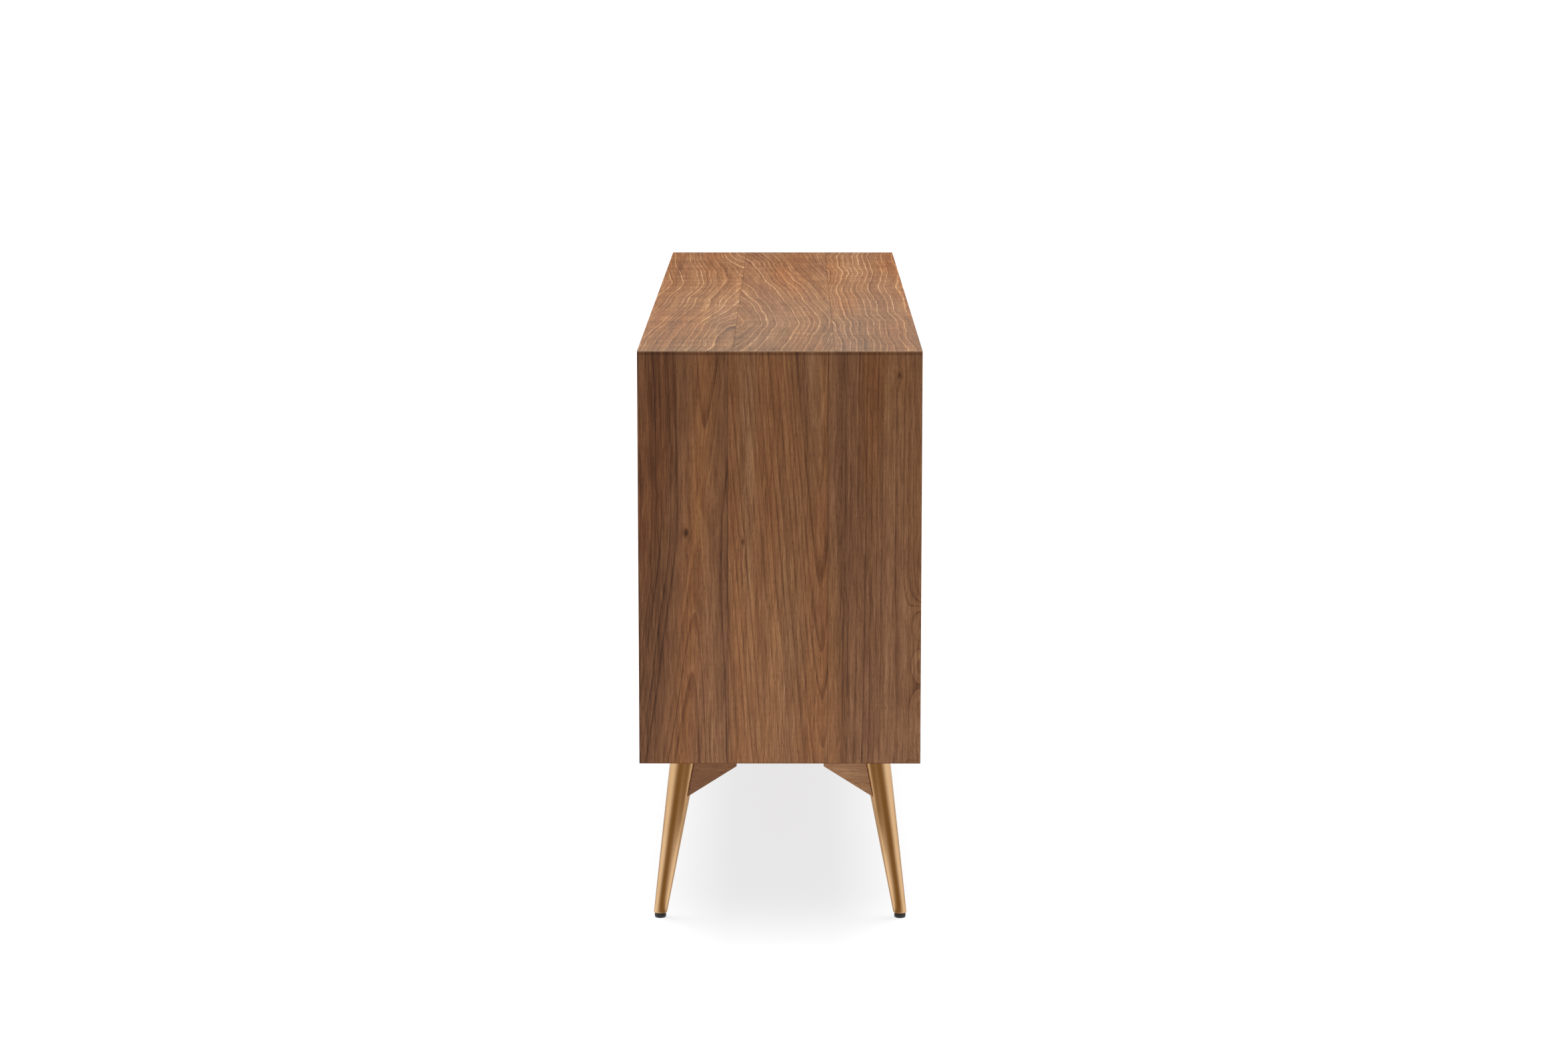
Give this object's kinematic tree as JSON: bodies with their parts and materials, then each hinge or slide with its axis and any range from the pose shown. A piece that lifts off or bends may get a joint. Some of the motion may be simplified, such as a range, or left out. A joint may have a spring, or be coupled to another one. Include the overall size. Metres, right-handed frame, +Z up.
{
  "type": "sideboard buffet",
  "caption": "Walnut sideboard with a mitred case, two hinged doors beside sliding drawers, and splayed tapered brass legs with wooden brackets.",
  "frame": {"origin": "on the floor, under the centre of the case", "axes": "+X along the length to the right of someone facing the front, +Y from the front to the back, +Z up"},
  "size_m": [1.6, 0.4, 0.85],
  "materials": {
    "walnut": "satin walnut veneer",
    "birch_plywood": "satin lacquered birch",
    "brass": "satin brass",
    "zinc_plated_steel": "zinc plated",
    "black_plastic": "matt black",
    "grey_plastic": "matt grey"
  },
  "bodies": {
    "carcass": {"top_panel": "walnut", "bottom_panel": "walnut", "left_side_panel": "walnut", "right_side_panel": "walnut", "back_panel": "walnut", "left_divider": "walnut", "left_shelf": "walnut", "right_divider": "walnut", "right_shelf": "walnut", "leg_front_left": "brass", "leg_bracket_front_left": "walnut", "glide_front_left": "black_plastic", "leg_front_right": "brass", "leg_bracket_front_right": "walnut", "glide_front_right": "black_plastic", "leg_rear_left": "brass", "leg_bracket_rear_left": "walnut", "glide_rear_left": "black_plastic", "leg_rear_right": "brass", "leg_bracket_rear_right": "walnut", "glide_rear_right": "black_plastic", "left_door_lower_case_leaf": "brass", "left_door_upper_case_leaf": "brass", "left_door_catch": "grey_plastic", "right_door_lower_case_leaf": "brass", "right_door_upper_case_leaf": "brass", "right_door_catch": "grey_plastic", "drawer_1_left_slide_channel": "zinc_plated_steel", "drawer_1_right_slide_channel": "zinc_plated_steel", "drawer_2_left_slide_channel": "zinc_plated_steel", "drawer_2_right_slide_channel": "zinc_plated_steel", "drawer_3_left_slide_channel": "zinc_plated_steel", "drawer_3_right_slide_channel": "zinc_plated_steel"},
    "left_door": {"left_door": "walnut", "left_door_lower_hinge_leaf": "brass", "left_door_upper_hinge_leaf": "brass"},
    "right_door": {"right_door": "walnut", "right_door_lower_hinge_leaf": "brass", "right_door_upper_hinge_leaf": "brass"},
    "drawer_1": {"drawer_1_front": "walnut", "drawer_1_back": "birch_plywood", "drawer_1_base": "birch_plywood", "drawer_1_left_side": "birch_plywood", "drawer_1_left_slide_rail": "zinc_plated_steel", "drawer_1_right_side": "birch_plywood", "drawer_1_right_slide_rail": "zinc_plated_steel"},
    "drawer_2": {"drawer_2_front": "walnut", "drawer_2_back": "birch_plywood", "drawer_2_base": "birch_plywood", "drawer_2_left_side": "birch_plywood", "drawer_2_left_slide_rail": "zinc_plated_steel", "drawer_2_right_side": "birch_plywood", "drawer_2_right_slide_rail": "zinc_plated_steel"},
    "drawer_3": {"drawer_3_front": "walnut", "drawer_3_back": "birch_plywood", "drawer_3_base": "birch_plywood", "drawer_3_left_side": "birch_plywood", "drawer_3_left_slide_rail": "zinc_plated_steel", "drawer_3_right_side": "birch_plywood", "drawer_3_right_slide_rail": "zinc_plated_steel"}
  },
  "joints": [
    {"name": "left_door_hinge", "type": "hinge", "parent": "carcass", "child": "left_door", "pos_m": [-0.761, -0.19, 0.555], "axis": [0, 0, -1], "range_deg": [0, 105]},
    {"name": "right_door_hinge", "type": "hinge", "parent": "carcass", "child": "right_door", "pos_m": [0.761, -0.19, 0.555], "axis": [0, 0, 1], "range_deg": [0, 105]},
    {"name": "drawer_1_slide", "type": "slide", "parent": "carcass", "child": "drawer_1", "axis": [0, -1, 0], "range_m": [0, 0.26]},
    {"name": "drawer_2_slide", "type": "slide", "parent": "carcass", "child": "drawer_2", "axis": [0, -1, 0], "range_m": [0, 0.26]},
    {"name": "drawer_3_slide", "type": "slide", "parent": "carcass", "child": "drawer_3", "axis": [0, -1, 0], "range_m": [0, 0.26]}
  ]
}
